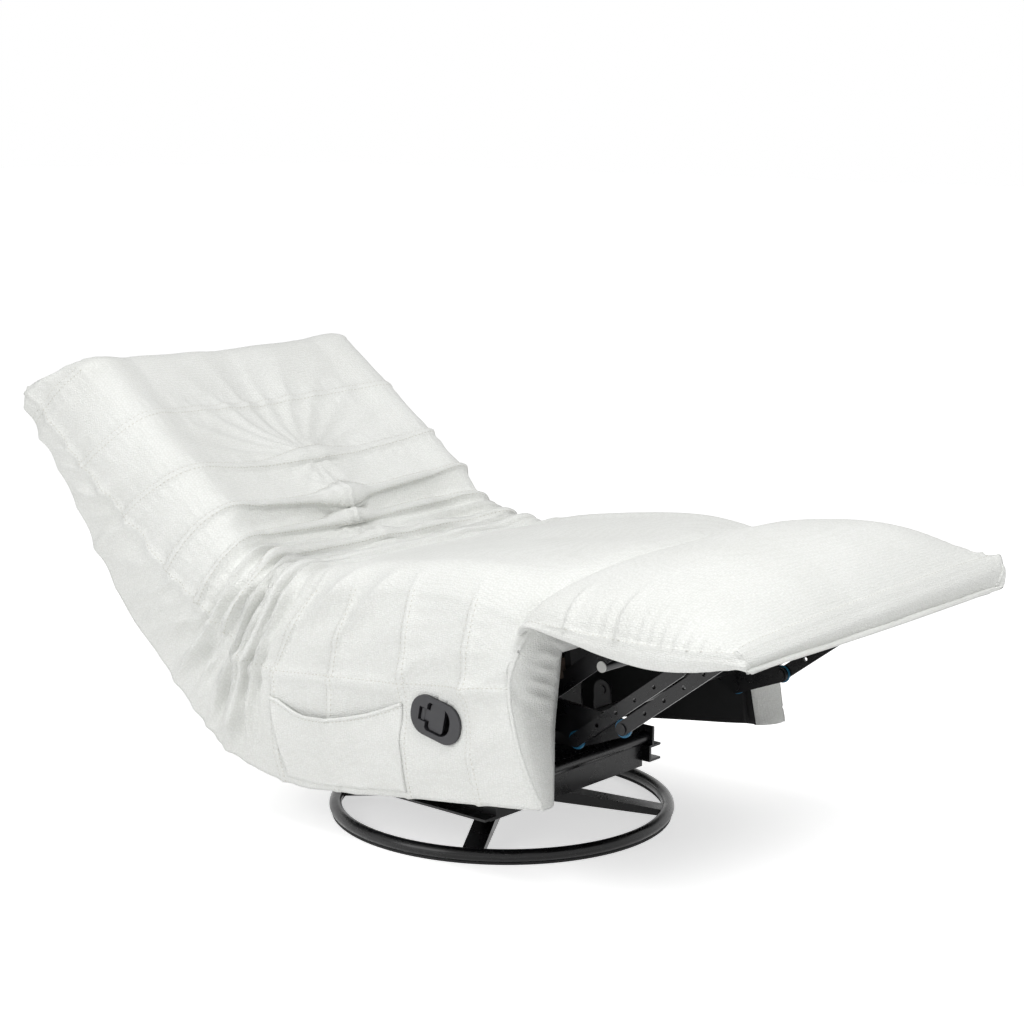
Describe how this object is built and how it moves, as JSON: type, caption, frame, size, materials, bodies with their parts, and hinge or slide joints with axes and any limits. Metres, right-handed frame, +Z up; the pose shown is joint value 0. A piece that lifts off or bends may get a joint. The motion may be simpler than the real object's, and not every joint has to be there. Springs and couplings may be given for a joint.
{
  "type": "swivel glider recliner",
  "caption": "Swivel glider recliner shown laid back: tufted back, crowned seat, fold-out footrest on a steel linkage, side pocket, recessed release paddle and a round tube base.",
  "frame": {"origin": "on the floor at the centre of the ring base, under the swivel axis", "axes": "+Z up along the swivel axis, -Y the way the sitter faces, -X the sitter's right, where the release paddle and pocket are"},
  "size_m": [0.776, 1.5958, 0.7572],
  "materials": {
    "fabric": "coarse off-white weave",
    "webbing": "woven elastic",
    "frame_wood": "raw",
    "black_lining": "board with black cloth lining",
    "bright_steel": "zinc plated",
    "black_plastic": "satin",
    "floor_strip": "matte",
    "pale_cap": "matte",
    "bushing": "matte",
    "clip_plastic": "matte",
    "black_steel": "gloss black powder coat"
  },
  "bodies": {
    "base": {"base_ring": "black_steel", "floor_strip": "floor_strip", "base_arms": "black_steel", "base_hub": "black_steel", "arm_bolts": "bright_steel", "bearing_lower_race": "bright_steel", "bearing_balls": "bright_steel", "swivel_bolt": "bright_steel"},
    "turntable": {"bearing_upper_race": "bright_steel", "turntable_plate": "black_steel", "glide_brackets": "black_steel", "upper_glide_pins": "black_steel"},
    "front_links": {"front_glide_links": "black_steel"},
    "rear_links": {"rear_glide_links": "black_steel"},
    "mechanism": {"base_rails": "black_steel", "lower_glide_pins": "black_steel", "mount_plates": "black_steel", "mount_pins": "black_steel", "front_cross_tube": "black_steel", "rear_cross_tube": "black_steel", "front_cross_plate": "black_steel"},
    "recline_link_pair": {"recline_links": "black_steel"},
    "seat": {"side_plates": "black_steel", "seat_pivot_pins": "black_steel", "nose_cross_tube": "black_steel", "tube_caps": "pale_cap", "seat_side_rails": "frame_wood", "front_rail": "frame_wood", "rear_rail": "frame_wood", "seat_springs": "bright_steel", "spring_clips": "clip_plastic", "nose_board": "black_lining", "left_panel_board": "black_lining", "right_panel_board": "black_lining", "seat_cushion": "fabric", "left_side_panel": "fabric", "right_side_panel": "fabric", "side_pocket": "fabric", "handle_housing": "black_plastic", "handle_pin": "bright_steel"},
    "handle": {"handle_paddle": "black_plastic"},
    "crank": {"lower_links": "black_steel", "torque_tube": "black_steel", "knee_pins": "black_steel", "knee_washers": "bushing"},
    "foot_bars": {"rear_upper_links": "black_steel"},
    "front_foot_bars": {"front_upper_links": "black_steel"},
    "footrest": {"footrest_board": "frame_wood", "footrest_brackets": "black_steel", "toe_pins": "black_steel", "footrest_cushion": "fabric"},
    "back": {"back_cushion": "fabric", "back_cover": "fabric", "back_posts": "frame_wood", "back_top_rail": "frame_wood", "back_lower_rail": "frame_wood", "back_webbing": "webbing", "back_brackets": "black_steel", "recline_joint_pins": "black_steel"}
  },
  "joints": [
    {"name": "swivel", "type": "hinge", "parent": "base", "child": "turntable", "pos_m": [0, 0, 0], "axis": [0, 0, 1], "continuous": true},
    {"name": "glide", "type": "hinge", "parent": "turntable", "child": "front_links", "pos_m": [0, -0.07, 0.19], "axis": [1, 0, 0], "range_deg": [-20, 20]},
    {"name": "glide_level", "type": "hinge", "parent": "front_links", "child": "mechanism", "pos_m": [0, -0.07, 0.085], "axis": [1, 0, 0], "range_deg": [-20.5, 20.5]},
    {"name": "rear_glide", "type": "hinge", "parent": "turntable", "child": "rear_links", "pos_m": [0, 0.11, 0.19], "axis": [1, 0, 0], "range_deg": [-20.5, 20.5]},
    {"name": "recline", "type": "hinge", "parent": "seat", "child": "back", "pos_m": [0, 0.32989, 0.28945], "axis": [1, 0, 0], "range_deg": [0, 28]},
    {"name": "seat_tilt", "type": "hinge", "parent": "mechanism", "child": "seat", "pos_m": [0, 0.04, 0.185], "axis": [1, 0, 0], "range_deg": [-0.2, 7.2]},
    {"name": "recline_link", "type": "hinge", "parent": "mechanism", "child": "recline_link_pair", "pos_m": [0, 0.18, 0.15], "axis": [1, 0, 0], "range_deg": [-6.03, 0.3]},
    {"name": "footrest_fold", "type": "hinge", "parent": "seat", "child": "footrest", "pos_m": [0, -0.45744, 0.44154], "axis": [1, 0, 0], "range_deg": [0, 90]},
    {"name": "crank_turn", "type": "hinge", "parent": "seat", "child": "crank", "pos_m": [0, -0.25829, 0.29114], "axis": [1, 0, 0], "range_deg": [-0.5, 90.5]},
    {"name": "foot_bar_turn", "type": "hinge", "parent": "crank", "child": "foot_bars", "pos_m": [0, -0.34103, 0.24085], "axis": [1, 0, 0], "range_deg": [-90.5, 0.5]},
    {"name": "front_bar_turn", "type": "hinge", "parent": "crank", "child": "front_foot_bars", "pos_m": [0, -0.43228, 0.27724], "axis": [1, 0, 0], "range_deg": [-90.5, 0.5]},
    {"name": "handle_pull", "type": "hinge", "parent": "seat", "child": "handle", "pos_m": [-0.3562, -0.13587, 0.27375], "axis": [0, 0.1908, -0.9816], "range_deg": [0, 30], "stiffness_Nm_per_rad": 0.25, "springref_deg": -2.86}
  ],
  "couplings": [
    {"joint": "glide_level", "follows": "glide", "ratio": -1},
    {"joint": "rear_glide", "follows": "glide", "ratio": 1},
    {"joint": "seat_tilt", "follows": "recline", "ratio": 0.25},
    {"joint": "recline_link", "follows": "recline", "ratio": -0.2048},
    {"joint": "crank_turn", "follows": "footrest_fold", "ratio": 1},
    {"joint": "foot_bar_turn", "follows": "footrest_fold", "ratio": -1},
    {"joint": "front_bar_turn", "follows": "footrest_fold", "ratio": -1}
  ]
}
